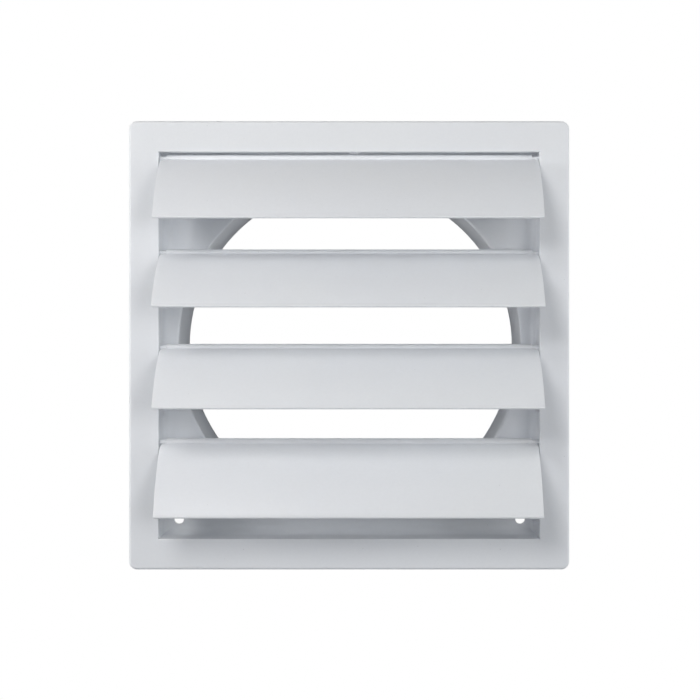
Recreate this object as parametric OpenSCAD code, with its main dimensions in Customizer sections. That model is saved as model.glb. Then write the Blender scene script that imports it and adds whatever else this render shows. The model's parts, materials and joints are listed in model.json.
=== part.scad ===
// Gravity flap vent for a round ventilation duct.
// A moulded housing holds a stack of identical curved flaps that swing on pins in its side walls.
// Frame: +X right, +Z up, the front faces -Y. The origin is on the duct axis, in the wall plane.

/* [Housing] */
// Width of the front frame
frame_w = 185; // [181:1:240]
// Height of the front frame
frame_h = 188.5; // [185:0.5:240]
// How far the frame stands off the wall
frame_depth = 20; // [18:0.5:40]
// Wall of the front face, skirt and recess
wall_t = 2; // [1.5:0.1:3]
// Back plate behind the flaps
plate_t = 2.2; // [1.5:0.1:4]
// Width of the border beside the opening
border_x = 12.5; // [8:0.5:14]
// Height of the border above and below the opening
border_z = 13; // [8:0.5:14]
// Outer corner radius seen from the front
corner_r = 3.4; // [2.5:0.1:8]
// Round along the front outer edge
edge_r = 1; // [0.3:0.1:1.4]
// Round along the edge of the opening
opening_edge_r = 0.4; // [0.2:0.1:1]
// Fillet between the recess walls and the back plate
recess_fillet_r = 4; // [1:0.1:5]

/* [Duct spigot] */
// Outside diameter, the nominal duct size
spigot_d = 150; // [100:1:151]
// Wall of the spigot
spigot_t = 1.4; // [1:0.1:3]
// Length behind the wall plane
spigot_length = 42; // [20:1:80]
// Lead-in chamfer at the rear end
spigot_lead_in = 0.8; // [0.2:0.1:0.9]
// Round where the air way leaves the back plate
air_way_edge_r = 0.8; // [0.2:0.1:1.2]

/* [Wall screws] */
// Diameter of the screw holes in the back plate
screw_hole_d = 4.2; // [3:0.1:4.6]
// Distance from a recess wall to the centre of a screw hole
screw_inset = 6.5; // [6.4:0.1:7]

/* [Flaps] */
// How far each flap stands open from the closed vertical line, from the top flap down
open_deg = [46.5, 53.5, 51, 41]; // [5:0.5:60]
// Blade thickness
flap_t = 1.2; // [0.8:0.1:1.6]
// Rise of the curved blade above its chord
flap_rise = 3; // [1.5:0.1:4]
// Gap between a blade end and the recess wall
flap_end_gap = 0.4; // [0.3:0.1:1.5]
// Gap between the top flap's barrel and the recess ceiling
flap_top_gap = 0.9; // [0.7:0.05:3]
// Gap between the lowest closed lip and the recess floor
flap_bottom_gap = 1.8; // [0.5:0.05:4]
// Height of a closed lip above the next hinge axis
lip_lift = 1.4; // [1:0.1:2]
// How far the round lip stands out from each face of the blade
lip_bead = 0.1; // [0.05:0.05:0.4]
// Width of the cut corner beside a barrel end
corner_cut_w = 2.5; // [1.5:0.1:5]
// Length of the cut corner along the blade
corner_cut_l = 3; // [1:0.5:8]

/* [Hinges] */
// Distance of the hinge axes behind the front face
hinge_setback = 4; // [3.2:0.1:8]
// Diameter of the barrel along the top of a flap
barrel_d = 3.6; // [3:0.1:4.4]
// Diameter of the hinge pins
pin_d = 2.4; // [1.6:0.1:2.6]
// Radial play of a pin in its bearing hole
pin_play = 0.07; // [0.02:0.01:0.1]
// Distance from a pin end to the far side of the wall that holds it
pin_end_gap = 0.2; // [0:0.05:0.5]

/* [Ceiling stop] */
// Width of the small half-round stop above the top flap
stop_w = 4.8; // [3:0.1:8]
// Depth of the stop along the ceiling
stop_l = 1.6; // [1:0.1:3]
// Gap between the stop and the barrel below it
stop_gap = 0.35; // [0.2:0.05:0.6]
// Distance of the stop to the right of the duct axis
stop_x = 2; // [-20:0.5:20]

/* [Hidden] */
$fn = 96;
eps = 0.01;
// Inner corner radius where the wall is thicker than the outer radius allows
least_corner_r = 0.5;

housing_colour = [0.82, 0.84, 0.88];
flap_colour = [0.84, 0.86, 0.89];

opening_w = frame_w - 2 * border_x;
opening_h = frame_h - 2 * border_z;
air_way_r = spigot_d / 2 - spigot_t;
screw_x = opening_w / 2 - screw_inset;
screw_z = opening_h / 2 - screw_inset;

hinge_y = -frame_depth + hinge_setback;
top_hinge_z = opening_h / 2 - flap_top_gap - barrel_d / 2;
// The closed flaps fill the opening from the top barrel to the lowest lip
hinge_pitch = (top_hinge_z + opening_h / 2 - flap_bottom_gap + lip_lift) / len(open_deg);
flap_chord = hinge_pitch - lip_lift;
flap_w = opening_w - 2 * flap_end_gap;
barrel_w = flap_w - 2 * corner_cut_w;
pin_span = opening_w + 2 * (wall_t - pin_end_gap);
// The blade is an arc that starts on the hinge axis and ends at the lip
blade_r = (flap_chord * flap_chord / 4 + flap_rise * flap_rise) / (2 * flap_rise);
blade_half_deg = asin(flap_chord / 2 / blade_r);

// Extrudes a drawing of the front view from the wall plane towards the front
module towards_front(depth) {
    rotate([90, 0, 0]) linear_extrude(depth) children();
}

// Cylinder along X, centred on the origin
module bar_x(d, length) {
    rotate([0, 90, 0]) cylinder(d = d, h = length, center = true);
}

module rounded_rectangle(w, h, r) {
    square([w - 2 * r, h], center = true);
    square([w, h - 2 * r], center = true);
    for (x = [-1, 1], z = [-1, 1])
        translate([x * (w / 2 - r), z * (h / 2 - r)]) circle(r);
}

// Section of the front shell: flat at the wall, with rounded front edges
module shell_section(span) {
    translate([-span / 2, 0]) square([span, frame_depth - edge_r]);
    translate([-span / 2 + edge_r, 0]) square([span - 2 * edge_r, frame_depth]);
    for (side = [-1, 1])
        translate([side * (span / 2 - edge_r), frame_depth - edge_r]) circle(edge_r);
}

// One turned corner post of the front shell, standing on the origin
module corner_post() {
    rotate([90, 0, 0]) rotate_extrude() intersection() {
        shell_section(2 * corner_r);
        square([corner_r, frame_depth]);
    }
}

module front_block() {
    mirror([0, 1, 0]) linear_extrude(frame_h - 2 * corner_r, center = true) shell_section(frame_w);
    rotate([0, 90, 0]) mirror([0, 1, 0])
        linear_extrude(frame_w - 2 * corner_r, center = true) shell_section(frame_h);
    for (x = [-1, 1], z = [-1, 1])
        translate([x * (frame_w / 2 - corner_r), 0, z * (frame_h / 2 - corner_r)]) corner_post();
}

// Hollow behind the border, open towards the wall
module rear_channel() {
    towards_front(frame_depth - wall_t) difference() {
        rounded_rectangle(frame_w - 2 * wall_t, frame_h - 2 * wall_t, max(corner_r - wall_t, least_corner_r));
        square([opening_w + 2 * wall_t, opening_h + 2 * wall_t], center = true);
    }
}

module recess() {
    translate([0, -plate_t, 0]) towards_front(frame_depth) square([opening_w, opening_h], center = true);
}

// What lies between a square corner and the circle that rounds it
module spandrel(r) {
    difference() {
        translate([-eps, -eps]) square(r + eps);
        translate([r, r]) circle(r);
    }
}

// Runs a section along the four sides of the opening at one depth
module around_opening(y, extra = 0) {
    for (side = [0:3]) {
        across = side % 2 == 0 ? opening_w : opening_h;
        along = side % 2 == 0 ? opening_h : opening_w;
        rotate([0, 90 * side, 0]) translate([across / 2, y, 0])
            linear_extrude(along + 2 * extra, center = true) children();
    }
}

// The air way through the back plate, with its rounded front edge
module air_way() {
    rotate([90, 0, 0]) {
        cylinder(r = air_way_r, h = 4 * plate_t, center = true);
        rotate_extrude() translate([air_way_r, plate_t]) rotate(-90) spandrel(air_way_edge_r);
    }
}

module spigot() {
    rotate([-90, 0, 0]) rotate_extrude() polygon([
        [air_way_r, -plate_t / 2],
        [spigot_d / 2, -plate_t / 2],
        [spigot_d / 2, spigot_length - spigot_lead_in],
        [spigot_d / 2 - spigot_lead_in / 2, spigot_length],
        [air_way_r, spigot_length],
    ]);
}

module screw_holes() {
    for (x = [-screw_x, screw_x], z = [-screw_z, screw_z])
        translate([x, 0, z]) rotate([90, 0, 0]) cylinder(d = screw_hole_d, h = 4 * plate_t, center = true);
}

module at_hinge(i) {
    translate([0, hinge_y, top_hinge_z - (i - 1) * hinge_pitch]) children();
}

module bearing_holes() {
    for (i = [1:len(open_deg)])
        at_hinge(i) bar_x(pin_d + 2 * pin_play, opening_w + 2 * wall_t + 2 * eps);
}

// Half-round stop that keeps the top barrel from riding up
module ceiling_stop() {
    drop = flap_top_gap - stop_gap;
    r = (stop_w * stop_w / 4 + drop * drop) / (2 * drop);
    translate([stop_x, hinge_y, opening_h / 2]) rotate([90, 0, 0]) intersection() {
        translate([0, r - drop, 0]) cylinder(r = r, h = stop_l, center = true);
        translate([0, (wall_t / 2 - drop) / 2, 0]) cube([stop_w, wall_t / 2 + drop, stop_l], center = true);
    }
}

module housing() {
    color(housing_colour) {
        difference() {
            front_block();
            rear_channel();
            recess();
            around_opening(-frame_depth, opening_edge_r) spandrel(opening_edge_r);
            air_way();
            screw_holes();
            bearing_holes();
        }
        around_opening(-plate_t) rotate(180) spandrel(recess_fillet_r);
        spigot();
        ceiling_stop();
    }
}

// Curved blade in the closed position, hanging from the hinge axis and bulging to the front
module blade() {
    translate([0, blade_r - flap_rise, -flap_chord / 2]) rotate([0, 90, 0])
        rotate(-90 - blade_half_deg) rotate_extrude(angle = 2 * blade_half_deg)
            translate([blade_r - flap_t / 2, -flap_w / 2]) square([flap_t, flap_w]);
    translate([0, 0, -flap_chord]) bar_x(flap_t + 2 * lip_bead, flap_w);
}

// Cuts the blade's upper corners back to the barrel ends
module corner_cuts() {
    for (side = [0, 1])
        mirror([side, 0, 0]) rotate([-blade_half_deg, 0, 0]) rotate([90, 0, 0])
            linear_extrude(4 * flap_t, center = true) polygon([
                [barrel_w / 2, 0],
                [flap_w / 2, -corner_cut_l],
                [flap_w / 2 + wall_t, -corner_cut_l],
                [flap_w / 2 + wall_t, barrel_d],
                [barrel_w / 2, barrel_d],
            ]);
}

module flap(i) {
    color(flap_colour) at_hinge(i) rotate([-open_deg[i - 1], 0, 0]) {
        difference() {
            blade();
            corner_cuts();
        }
        bar_x(barrel_d, barrel_w);
        bar_x(pin_d, pin_span);
    }
}

housing();
for (i = [1:len(open_deg)])
    flap(i);
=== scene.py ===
"""Looks of a gravity flap vent: the moulded housing, its four pinned flaps and a plain studio."""

import json
import math

import bmesh
import bpy
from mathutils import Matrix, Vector

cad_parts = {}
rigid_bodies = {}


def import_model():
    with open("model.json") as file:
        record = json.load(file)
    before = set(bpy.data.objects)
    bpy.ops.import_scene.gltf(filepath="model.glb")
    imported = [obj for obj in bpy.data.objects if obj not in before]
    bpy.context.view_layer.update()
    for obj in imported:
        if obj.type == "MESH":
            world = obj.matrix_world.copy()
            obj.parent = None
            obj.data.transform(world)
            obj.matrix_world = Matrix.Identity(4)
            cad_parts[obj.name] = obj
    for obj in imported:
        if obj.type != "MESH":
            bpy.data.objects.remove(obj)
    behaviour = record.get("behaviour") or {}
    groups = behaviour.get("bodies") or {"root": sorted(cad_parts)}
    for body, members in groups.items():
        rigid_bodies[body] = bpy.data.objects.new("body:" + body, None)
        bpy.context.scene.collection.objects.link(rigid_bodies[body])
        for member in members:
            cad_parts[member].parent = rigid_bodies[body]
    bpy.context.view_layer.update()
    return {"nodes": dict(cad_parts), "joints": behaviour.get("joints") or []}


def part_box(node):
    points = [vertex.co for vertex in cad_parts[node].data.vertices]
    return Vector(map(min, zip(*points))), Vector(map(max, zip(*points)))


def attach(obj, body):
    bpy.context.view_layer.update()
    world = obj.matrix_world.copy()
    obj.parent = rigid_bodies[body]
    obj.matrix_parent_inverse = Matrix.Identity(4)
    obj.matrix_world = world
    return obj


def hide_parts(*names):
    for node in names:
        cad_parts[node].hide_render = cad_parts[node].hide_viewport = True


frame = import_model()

bl_info = {
    "name": "Gravity flap vent",
    "version": (1, 0, 0),
    "blender": (4, 5, 0),
    "location": "View3D > Sidebar > Vent",
    "description": "Finishes a moulded gravity flap vent around its packed frame",
    "category": "Object",
}

MM = 0.001
FLAP_JOINTS = [joint for joint in frame["joints"] if joint["parent"] == "housing"]
FRONT_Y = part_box("housing")[0].y
PIN_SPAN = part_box("flap_1")[1].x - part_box("flap_1")[0].x
SPIGOT_BORE_R = 73.6 * MM

# Name, degrees to the right of the viewer, degrees up, distance, size, power, colour
LAMPS = (
    ("key_lamp", -22, 30, 0.75, 0.30, 2.1, (1.0, 0.99, 0.98)),
    ("right_lamp", 22, 5, 0.75, 0.28, 1.1, (1.0, 0.99, 0.99)),
    ("left_side_lamp", -72, 5, 0.75, 0.28, 2.3, (1.0, 0.99, 1.0)),
    ("right_side_lamp", 76, 5, 0.75, 0.28, 1.9, (0.95, 0.98, 1.0)),
    ("low_lamp", 0, -60, 0.60, 0.40, 0.25, (0.75, 0.85, 1.0)),
)


class VentFlapSettings(bpy.types.PropertyGroup):
    """Sizes of one moulded flap, hanging closed from its hinge axis"""

    blade_width: bpy.props.FloatProperty(
        name="Blade width", description="Length of the blade along the hinge",
        default=159.2 * MM, unit="LENGTH")
    chord: bpy.props.FloatProperty(
        name="Chord", description="Hinge axis to the lip, measured straight",
        default=38.45 * MM, unit="LENGTH")
    rise: bpy.props.FloatProperty(
        name="Rise", description="Rise of the curved blade above its chord", default=3 * MM, unit="LENGTH")
    thickness: bpy.props.FloatProperty(
        name="Thickness", description="Wall of the blade", default=1.2 * MM, unit="LENGTH")
    lip_bead: bpy.props.FloatProperty(
        name="Lip bead", description="How far the round lip stands out from each face",
        default=0.1 * MM, unit="LENGTH")
    barrel_diameter: bpy.props.FloatProperty(
        name="Barrel diameter", description="Diameter of the barrel along the hinge",
        default=3.6 * MM, unit="LENGTH")
    barrel_width: bpy.props.FloatProperty(
        name="Barrel width", description="Length of the barrel between its shoulders",
        default=154.2 * MM, unit="LENGTH")
    pin_diameter: bpy.props.FloatProperty(
        name="Pin diameter", description="Diameter of the hinge pins", default=2.4 * MM, unit="LENGTH")
    pin_span: bpy.props.FloatProperty(
        name="Pin span", description="Distance between the far ends of the two pins",
        default=PIN_SPAN, unit="LENGTH")
    corner_cut: bpy.props.FloatProperty(
        name="Corner cut", description="Length of the cut corner along the blade",
        default=3 * MM, unit="LENGTH")
    edge_round: bpy.props.FloatProperty(
        name="Edge round", description="Small round that the mould leaves on every edge",
        default=0.25 * MM, unit="LENGTH")
    closed_angle: bpy.props.FloatProperty(
        name="Closed angle", description="Lean of the chord when the flap is shut",
        default=math.radians(4), subtype="ANGLE")


class VentPlasticSettings(bpy.types.PropertyGroup):
    """Finish of the moulded plastic"""

    housing_colour: bpy.props.FloatVectorProperty(
        name="Housing colour", description="Base colour of the housing", subtype="COLOR",
        size=3, min=0, max=1, default=(0.87, 0.89, 0.92))
    flap_colour: bpy.props.FloatVectorProperty(
        name="Flap colour", description="Base colour of the flaps", subtype="COLOR",
        size=3, min=0, max=1, default=(0.87, 0.89, 0.92))
    roughness: bpy.props.FloatProperty(
        name="Roughness", description="Mean roughness of the moulded skin", default=0.42, min=0, max=1)
    shine: bpy.props.FloatProperty(
        name="Shine", description="Strength of the reflections", default=0.4, min=0, max=1)
    light_depth: bpy.props.FloatProperty(
        name="Light depth", description="How far light goes into the plastic", default=1.2 * MM, unit="LENGTH")
    skin_relief: bpy.props.FloatProperty(
        name="Skin relief", description="Depth of the fine waviness of the moulded skin",
        default=0.012 * MM, unit="LENGTH")
    edge_round: bpy.props.FloatProperty(
        name="Edge round", description="Small round that the mould leaves on the housing's edges",
        default=0.25 * MM, unit="LENGTH")


class VentStageSettings(bpy.types.PropertyGroup):
    """Camera, lamps and floor"""

    camera_distance: bpy.props.FloatProperty(
        name="Camera distance", description="Camera to the front face", default=0.70, unit="LENGTH")
    camera_right: bpy.props.FloatProperty(
        name="Camera right", description="Camera to the right of the duct axis",
        default=8.6 * MM, unit="LENGTH")
    camera_up: bpy.props.FloatProperty(
        name="Camera up", description="Camera above the duct axis", default=-4.0 * MM, unit="LENGTH")
    floor_drop: bpy.props.FloatProperty(
        name="Floor drop", description="Floor below the duct axis", default=0.65, unit="LENGTH")
    floor_radius: bpy.props.FloatProperty(
        name="Floor radius", description="Radius of the round floor", default=2.2, unit="LENGTH")
    ambient: bpy.props.FloatProperty(
        name="Ambient light", description="Strength of the light from all around", default=0.02, min=0)


class NodeTree:
    """Places nodes in a tree and links them, one call for each node."""

    def __init__(self, tree):
        self.tree = tree

    def add(self, kind, inputs=None, **settings):
        """Adds a node, sets its settings, and links or sets its inputs by name or number."""
        node = self.tree.nodes.new(kind)
        for name, value in settings.items():
            setattr(node, name, value)
        for key, value in (inputs or {}).items():
            if isinstance(value, bpy.types.NodeSocket):
                self.tree.links.new(value, node.inputs[key])
            else:
                node.inputs[key].default_value = value
        return node

    def math(self, operation, *values, clamp=False):
        """Adds a Math node of the tree's kind and returns its result."""
        node = self.add("ShaderNodeMath", dict(enumerate(values)), operation=operation, use_clamp=clamp)
        return node.outputs[0]

    def vector(self, x=0.0, y=0.0, z=0.0):
        """Adds a Combine XYZ node and returns its vector."""
        return self.add("ShaderNodeCombineXYZ", {0: x, 1: y, 2: z}).outputs[0]


def new_geometry_tree(name, sockets):
    """Makes a Geometry Nodes group with one geometry output and the named inputs."""
    group = bpy.data.node_groups.new(name, "GeometryNodeTree")
    for socket_name, socket_type in sockets.items():
        group.interface.new_socket(socket_name, in_out="INPUT", socket_type=socket_type)
    group.interface.new_socket("Geometry", in_out="OUTPUT", socket_type="NodeSocketGeometry")
    return group


def rod_tree():
    """Group for a straight rod along X whose end edges are rounded."""
    group = new_geometry_tree("Rounded rod", {
        "Centre": "NodeSocketVector", "Length": "NodeSocketFloat",
        "Diameter": "NodeSocketFloat", "Edge round": "NodeSocketFloat"})
    nodes = NodeTree(group)
    size = nodes.add("NodeGroupInput").outputs
    ring_steps = 4
    last_ring = 2 * ring_steps + 1
    line = nodes.add("GeometryNodeCurvePrimitiveLine", {"Start": (0, 0, 0), "End": (1, 0, 0)})
    rings = nodes.add("GeometryNodeResampleCurve", {"Curve": line.outputs[0], "Count": last_ring + 1})

    index = nodes.add("GeometryNodeInputIndex").outputs[0]
    to_end = nodes.math("SUBTRACT", last_ring, index)
    from_nearest_end = nodes.math("MINIMUM", index, to_end)
    share = nodes.math("DIVIDE", from_nearest_end, ring_steps)
    # Rings crowd where the round is steep: distance in from the end is r(1 - cos), inset is r(1 - sin)
    turn = nodes.math("MULTIPLY", share, math.pi / 2)
    inward = nodes.math("SUBTRACT", 1.0, nodes.math("COSINE", turn))
    inset = nodes.math("SUBTRACT", 1.0, nodes.math("SINE", turn))
    half = nodes.math("MULTIPLY", size["Length"], 0.5)
    reach = nodes.math("SUBTRACT", half, nodes.math("MULTIPLY", size["Edge round"], inward))
    side = nodes.math("SIGN", nodes.math("SUBTRACT", index, last_ring / 2))
    along = nodes.vector(nodes.math("MULTIPLY", side, reach))
    place = nodes.add("ShaderNodeVectorMath", {0: along, 1: size["Centre"]}, operation="ADD")
    spread = nodes.add("GeometryNodeSetPosition", {"Geometry": rings.outputs[0], "Position": place.outputs[0]})
    radius = nodes.math("MULTIPLY", size["Diameter"], 0.5)
    ring_radius = nodes.math("SUBTRACT", radius, nodes.math("MULTIPLY", size["Edge round"], inset))
    profile = nodes.add("GeometryNodeCurvePrimitiveCircle", {"Resolution": 48, "Radius": 1.0})
    rod = nodes.add("GeometryNodeCurveToMesh", {
        "Curve": spread.outputs[0], "Profile Curve": profile.outputs[0], "Scale": ring_radius,
        "Fill Caps": True})
    nodes.add("NodeGroupOutput", {0: rod.outputs[0]})
    return group


def flap_tree():
    """Group for one flap: an arched blade with a round lip, hung on a barrel and two pins."""
    group = new_geometry_tree("Moulded flap", {
        "Blade width": "NodeSocketFloat", "Chord": "NodeSocketFloat", "Rise": "NodeSocketFloat",
        "Thickness": "NodeSocketFloat", "Lip bead": "NodeSocketFloat",
        "Barrel diameter": "NodeSocketFloat", "Barrel width": "NodeSocketFloat",
        "Pin diameter": "NodeSocketFloat", "Pin span": "NodeSocketFloat",
        "Corner cut": "NodeSocketFloat", "Edge round": "NodeSocketFloat",
        "Open angle": "NodeSocketFloat", "Hinge": "NodeSocketVector",
        "Material": "NodeSocketMaterial"})
    nodes = NodeTree(group)
    size = nodes.add("NodeGroupInput").outputs

    # The blade's middle line is an arc through the hinge axis, the belly and the lip
    half_chord = nodes.math("MULTIPLY", size["Chord"], -0.5)
    belly = nodes.vector(0, nodes.math("MULTIPLY", size["Rise"], -1.0), half_chord)
    lip_place = nodes.vector(0, 0, nodes.math("MULTIPLY", size["Chord"], -1.0))
    arc = nodes.add("GeometryNodeCurveArc", {
        "Resolution": 48, "Start": (0, 0, 0), "Middle": belly, "End": lip_place}, mode="POINTS")
    across = nodes.add("GeometryNodeSetCurveNormal", {"Curve": arc.outputs[0], "Normal": (1, 0, 0)}, mode="FREE")
    down_blade = nodes.add("GeometryNodeSplineParameter").outputs["Length"]
    marked = nodes.add("GeometryNodeCaptureAttribute", {"Geometry": across.outputs[0]})
    marked.capture_items.new("FLOAT", "Down blade")
    nodes.tree.links.new(down_blade, marked.inputs["Down blade"])
    section = nodes.add("GeometryNodeCurvePrimitiveQuadrilateral", {
        "Width": size["Blade width"], "Height": size["Thickness"]})
    eased = nodes.add("GeometryNodeFilletCurve", {
        "Curve": section.outputs[0], "Count": 3, "Radius": size["Edge round"]}, mode="POLY")
    blade = nodes.add("GeometryNodeCurveToMesh", {
        "Curve": marked.outputs["Geometry"], "Profile Curve": eased.outputs[0], "Fill Caps": True})

    # The upper corners are drawn in towards the barrel's ends
    share_down = nodes.math("DIVIDE", marked.outputs["Down blade"], size["Corner cut"], clamp=True)
    barrel_share = nodes.math("DIVIDE", size["Barrel width"], size["Blade width"])
    full_less = nodes.math("SUBTRACT", 1.0, barrel_share)
    width_share = nodes.math("ADD", barrel_share, nodes.math("MULTIPLY", full_less, share_down))
    position = nodes.add("ShaderNodeSeparateXYZ", {0: nodes.add("GeometryNodeInputPosition").outputs[0]})
    drawn_in = nodes.vector(
        nodes.math("MULTIPLY", position.outputs[0], width_share), position.outputs[1], position.outputs[2])
    blade = nodes.add("GeometryNodeSetPosition", {"Geometry": blade.outputs[0], "Position": drawn_in})

    rods = rod_tree()
    lip_diameter = nodes.math("MULTIPLY_ADD", size["Lip bead"], 2.0, size["Thickness"])

    def rod(centre, length, diameter):
        return nodes.add("GeometryNodeGroup", {
            "Centre": centre, "Length": length, "Diameter": diameter,
            "Edge round": size["Edge round"]}, node_tree=rods).outputs[0]

    axis = nodes.vector()
    fused = nodes.add("GeometryNodeMeshBoolean", operation="UNION", solver="EXACT")
    for part in (
        blade.outputs[0],
        rod(lip_place, size["Blade width"], lip_diameter),
        rod(axis, size["Barrel width"], size["Barrel diameter"]),
        rod(axis, size["Pin span"], size["Pin diameter"]),
    ):
        nodes.tree.links.new(part, fused.inputs["Mesh 2"])

    turned = nodes.add("GeometryNodeTransform", {
        "Geometry": fused.outputs[0], "Translation": size["Hinge"],
        "Rotation": nodes.vector(nodes.math("MULTIPLY", size["Open angle"], -1.0))})
    smooth = nodes.add("GeometryNodeSetShadeSmooth", {"Geometry": turned.outputs[0]})
    crease = nodes.math("GREATER_THAN", nodes.add("GeometryNodeInputMeshEdgeAngle").outputs[0], math.radians(35))
    creased = nodes.add("GeometryNodeSetShadeSmooth", {
        "Geometry": smooth.outputs[0], "Selection": crease, "Shade Smooth": False}, domain="EDGE")
    whole = nodes.add("GeometryNodeRealizeInstances", {"Geometry": creased.outputs[0]})
    finished = nodes.add("GeometryNodeSetMaterial", {
        "Geometry": whole.outputs[0], "Material": size["Material"]})
    nodes.add("NodeGroupOutput", {0: finished.outputs[0]})
    return group


def new_object(name, mesh=None):
    """Links a mesh object at the origin."""
    thing = bpy.data.objects.new(name, mesh or bpy.data.meshes.new(name))
    bpy.context.scene.collection.objects.link(thing)
    return thing


def grow(thing, group, values):
    """Runs a Geometry Nodes group on an object and keeps its result as a plain mesh."""
    modifier = thing.modifiers.new(group.name, "NODES")
    modifier.node_group = group
    for item in group.interface.items_tree:
        if item.in_out == "INPUT":
            modifier[item.identifier] = values[item.name]
    thing.data.update()
    evaluated = thing.evaluated_get(bpy.context.evaluated_depsgraph_get())
    baked = bpy.data.meshes.new_from_object(evaluated)
    thing.modifiers.clear()
    thing.data = baked
    baked.name = thing.name


def plastic(name, colour, settings, seed, matt_inside=False):
    """Moulded plastic: light goes a little way in, with flow clouds, specks, a waved skin and uneven gloss."""
    material = bpy.data.materials.new(name)
    material.use_nodes = True
    material.node_tree.nodes.clear()
    nodes = NodeTree(material.node_tree)
    place = nodes.add("ShaderNodeTexCoord").outputs["Object"]
    shifted = nodes.add("ShaderNodeMapping", {"Vector": place, "Location": (seed, seed, seed)}).outputs[0]

    clouds = nodes.add("ShaderNodeTexNoise", {"Vector": shifted, "Scale": 14.0, "Detail": 3.0})
    grain = nodes.add("ShaderNodeTexNoise", {"Vector": shifted, "Scale": 900.0, "Detail": 2.0})
    tone = nodes.math("MULTIPLY_ADD", clouds.outputs[0], 0.05, 0.975)
    tone = nodes.math("MULTIPLY", tone, nodes.math("MULTIPLY_ADD", grain.outputs[0], 0.04, 0.98))
    # Specks of darker pigment, in one cell out of eight
    cells = nodes.add("ShaderNodeTexVoronoi", {"Vector": shifted, "Scale": 260.0})
    near = nodes.math("LESS_THAN", cells.outputs["Distance"], 0.055)
    cell_pick = nodes.add("ShaderNodeSeparateColor", {0: cells.outputs["Color"]}).outputs[0]
    speck = nodes.math("MULTIPLY", near, nodes.math("LESS_THAN", cell_pick, 0.125))
    tone = nodes.math("MULTIPLY", tone, nodes.math("MULTIPLY_ADD", speck, -0.16, 1.0))
    tinted = nodes.add("ShaderNodeVectorMath", {0: tuple(colour), "Scale": tone}, operation="SCALE")

    waves = nodes.add("ShaderNodeTexNoise", {"Vector": shifted, "Scale": 260.0, "Detail": 1.5})
    relief = nodes.math("ADD", waves.outputs[0], nodes.math("MULTIPLY", grain.outputs[0], 0.25))
    skin = nodes.add("ShaderNodeBump", {"Height": relief, "Strength": 1.0, "Distance": settings.skin_relief})
    uneven = nodes.add("ShaderNodeTexNoise", {"Vector": shifted, "Scale": 40.0, "Detail": 3.0})
    gloss = nodes.math("MULTIPLY_ADD", uneven.outputs[0], 0.12, settings.roughness - 0.06)
    shine = settings.shine
    if matt_inside:
        # The inside of the spigot is shaped by a matt core
        at = nodes.add("ShaderNodeSeparateXYZ", {0: place}).outputs
        across = nodes.add("ShaderNodeVectorMath", {0: nodes.vector(at[0], 0.0, at[2])}, operation="LENGTH")
        within = nodes.math("LESS_THAN", across.outputs["Value"], SPIGOT_BORE_R + 0.05 * MM)
        behind = nodes.math("GREATER_THAN", at[1], -1.4 * MM)
        core = nodes.math("MULTIPLY", within, behind)
        gloss = nodes.math("MAXIMUM", gloss, core)
        shine = nodes.math("MULTIPLY", shine, nodes.math("SUBTRACT", 1.0, core))
    shader = nodes.add("ShaderNodeBsdfPrincipled", {
        "Base Color": tinted.outputs[0], "Roughness": gloss, "Normal": skin.outputs[0], "IOR": 1.5,
        "Specular IOR Level": shine, "Subsurface Weight": 1.0,
        "Subsurface Radius": (1.0, 1.0, 1.0), "Subsurface Scale": settings.light_depth})
    nodes.add("ShaderNodeOutputMaterial", {"Surface": shader.outputs[0]})
    return material


class VENT_OT_finish_housing(bpy.types.Operator):
    """Give the moulded housing its plastic"""

    bl_idname = "vent.finish_housing"
    bl_label = "Finish housing"

    def execute(self, context):
        settings = context.scene.vent_plastic
        housing = frame["nodes"]["housing"]
        material = plastic("housing_plastic_skin", settings.housing_colour, settings, seed=0.31, matt_inside=True)
        for slot in housing.material_slots:
            slot.material = material
        return {"FINISHED"}


class VENT_OT_mould_flaps(bpy.types.Operator):
    """Mould the flaps on their hinges, each at its resting angle"""

    bl_idname = "vent.mould_flaps"
    bl_label = "Mould flaps"

    def execute(self, context):
        flap = context.scene.vent_flap
        settings = context.scene.vent_plastic
        material = plastic("flap_plastic_skin", settings.flap_colour, settings, seed=1.7)
        group = flap_tree()
        for number, joint in enumerate(FLAP_JOINTS, start=1):
            body = joint["child"]
            open_angle = flap.closed_angle - math.radians(joint["range_deg"][0])
            piece = new_object(f"moulded_flap_{number}")
            grow(piece, group, {
                "Blade width": flap.blade_width, "Chord": flap.chord, "Rise": flap.rise,
                "Thickness": flap.thickness, "Lip bead": flap.lip_bead,
                "Barrel diameter": flap.barrel_diameter, "Barrel width": flap.barrel_width,
                "Pin diameter": flap.pin_diameter, "Pin span": flap.pin_span,
                "Corner cut": flap.corner_cut, "Edge round": flap.edge_round,
                "Open angle": open_angle, "Hinge": joint["pos_m"], "Material": material})
            if not piece.data.polygons:
                raise RuntimeError(f"{piece.name} came out empty")
            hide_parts(body)
            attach(piece, body)
        return {"FINISHED"}


def area_lamp(name, azimuth, elevation, distance, size, power, colour):
    """A soft square lamp on a sphere round the object, aimed at its middle."""
    light = bpy.data.lights.new(name, "AREA")
    light.shape = "SQUARE"
    light.size = size
    light.energy = power
    light.color = colour
    lamp = bpy.data.objects.new(name, light)
    turn, lift = math.radians(azimuth), math.radians(elevation)
    ahead = Vector((math.sin(turn) * math.cos(lift), -math.cos(turn) * math.cos(lift), math.sin(lift)))
    lamp.location = distance * ahead
    lamp.rotation_euler = (-ahead).to_track_quat("-Z", "Y").to_euler()
    lamp.visible_camera = False
    bpy.context.scene.collection.objects.link(lamp)


def seen_directly(nodes):
    """1 for the rays that show a surface itself: seen, mirrored or looked through."""
    ray = nodes.add("ShaderNodeLightPath").outputs
    mirrored = nodes.math("MAXIMUM", ray["Is Glossy Ray"], ray["Is Transmission Ray"])
    return nodes.math("MAXIMUM", ray["Is Camera Ray"], mirrored)


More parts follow.
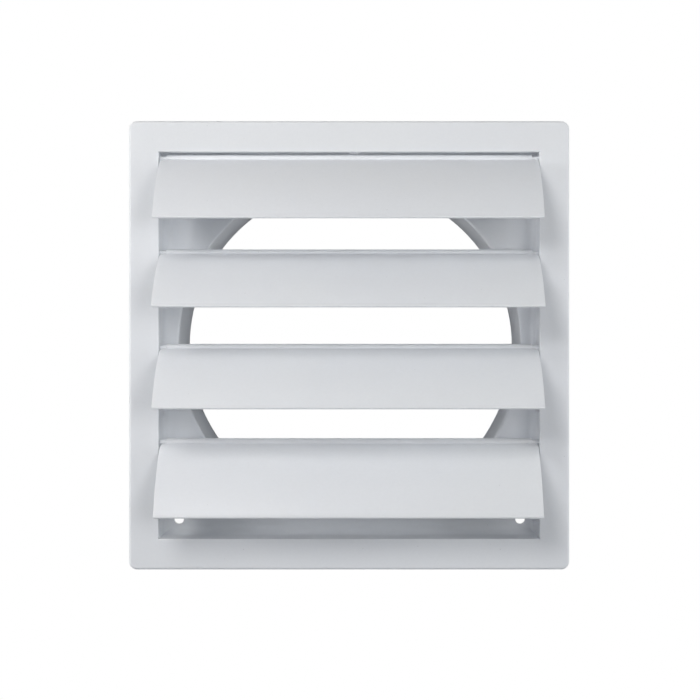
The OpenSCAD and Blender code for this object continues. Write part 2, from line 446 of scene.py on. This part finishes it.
def set_world(ambient, strength):
    """Soft ambient light, with plain white behind the object."""
    world = bpy.data.worlds.new("studio_air")
    world.use_nodes = True
    world.node_tree.nodes.clear()
    nodes = NodeTree(world.node_tree)
    light = nodes.add("ShaderNodeBackground", {"Color": (*ambient, 1.0), "Strength": strength})
    white = nodes.add("ShaderNodeBackground", {"Color": (1.0, 1.0, 1.0, 1.0), "Strength": 1.0})
    mixed = nodes.add("ShaderNodeMixShader", {
        0: seen_directly(nodes), 1: light.outputs[0], 2: white.outputs[0]})
    nodes.add("ShaderNodeOutputWorld", {"Surface": mixed.outputs[0]})
    bpy.context.scene.world = world


def floor_paint(radius):
    """Pale matt paint that shows a soft shadow near its middle and turns plain white further out."""
    material = bpy.data.materials.new("studio_floor_paint")
    material.use_nodes = True
    material.node_tree.nodes.clear()
    nodes = NodeTree(material.node_tree)
    place = nodes.add("ShaderNodeTexCoord").outputs["Object"]
    out = nodes.add("ShaderNodeVectorMath", {0: place}, operation="LENGTH").outputs["Value"]
    share_out = nodes.add("ShaderNodeMapRange", {
        "Value": out, "From Min": 0.35 * radius, "From Max": 0.9 * radius, "To Min": 0.8, "To Max": 1.0},
        interpolation_type="SMOOTHSTEP").outputs[0]
    matt = nodes.add("ShaderNodeBsdfDiffuse", {"Color": (0.86, 0.86, 0.86, 1.0)})
    white = nodes.add("ShaderNodeEmission", {"Color": (1.0, 1.0, 1.0, 1.0), "Strength": 1.0})
    mixed = nodes.add("ShaderNodeMixShader", {
        0: nodes.math("MULTIPLY", seen_directly(nodes), share_out), 1: matt.outputs[0], 2: white.outputs[0]})
    nodes.add("ShaderNodeOutputMaterial", {"Surface": mixed.outputs[0]})
    return material


def lay_floor(drop, radius):
    """A round pale floor below the object."""
    floor = new_object("studio_floor")
    shape = bmesh.new()
    bmesh.ops.create_circle(shape, cap_ends=True, segments=96, radius=radius)
    shape.to_mesh(floor.data)
    shape.free()
    floor.location.z = -drop
    floor.data.materials.append(floor_paint(radius))


class VENT_OT_set_stage(bpy.types.Operator):
    """Set up the camera, the lamps, the pale floor and the white surroundings"""

    bl_idname = "vent.set_stage"
    bl_label = "Set stage"

    def execute(self, context):
        stage = context.scene.vent_stage
        scene = context.scene
        scene.view_settings.view_transform = "Standard"
        picture_px = 700
        px_per_mm = 2.381
        centre_px = (349.1, 345.3)
        camera = bpy.data.objects.new("camera", bpy.data.cameras.new("camera"))
        scene.collection.objects.link(camera)
        focal_px = px_per_mm * stage.camera_distance / MM
        camera.data.lens = focal_px / picture_px * camera.data.sensor_width
        camera.location = (stage.camera_right, FRONT_Y - stage.camera_distance, stage.camera_up)
        camera.rotation_euler = (math.radians(90), 0, 0)
        axis_px_x = centre_px[0] + px_per_mm * stage.camera_right / MM
        axis_px_y = centre_px[1] - px_per_mm * stage.camera_up / MM
        camera.data.shift_x = (picture_px / 2 - axis_px_x) / picture_px
        camera.data.shift_y = (axis_px_y - picture_px / 2) / picture_px
        camera.data.clip_start = 10 * MM
        scene.camera = camera

        for lamp in LAMPS:
            area_lamp(*lamp)
        lay_floor(stage.floor_drop, stage.floor_radius)
        set_world((0.72, 0.83, 1.0), stage.ambient)
        return {"FINISHED"}


class VENT_PT_sidebar(bpy.types.Panel):
    """Sidebar panel with the vent's steps"""

    bl_idname = "VENT_PT_sidebar"
    bl_label = "Gravity flap vent"
    bl_space_type = "VIEW_3D"
    bl_region_type = "UI"
    bl_category = "Vent"

    def draw(self, context):
        for step in STEPS:
            self.layout.operator(step.bl_idname)


STEPS = (VENT_OT_finish_housing, VENT_OT_mould_flaps, VENT_OT_set_stage)
SETTINGS = {
    "vent_flap": VentFlapSettings,
    "vent_plastic": VentPlasticSettings,
    "vent_stage": VentStageSettings,
}


def register():
    """Registers the settings, steps and panel."""
    for kind in (*SETTINGS.values(), *STEPS, VENT_PT_sidebar):
        bpy.utils.register_class(kind)
    for name, kind in SETTINGS.items():
        setattr(bpy.types.Scene, name, bpy.props.PointerProperty(type=kind))


def unregister():
    """Takes the settings, steps and panel away again."""
    for name in SETTINGS:
        delattr(bpy.types.Scene, name)
    for kind in reversed((*SETTINGS.values(), *STEPS, VENT_PT_sidebar)):
        bpy.utils.unregister_class(kind)


def main():
    """Builds the vent's looks and the stage."""
    register()
    bpy.ops.vent.finish_housing()
    bpy.ops.vent.mould_flaps()
    bpy.ops.vent.set_stage()


if __name__ == "__main__":
    main()
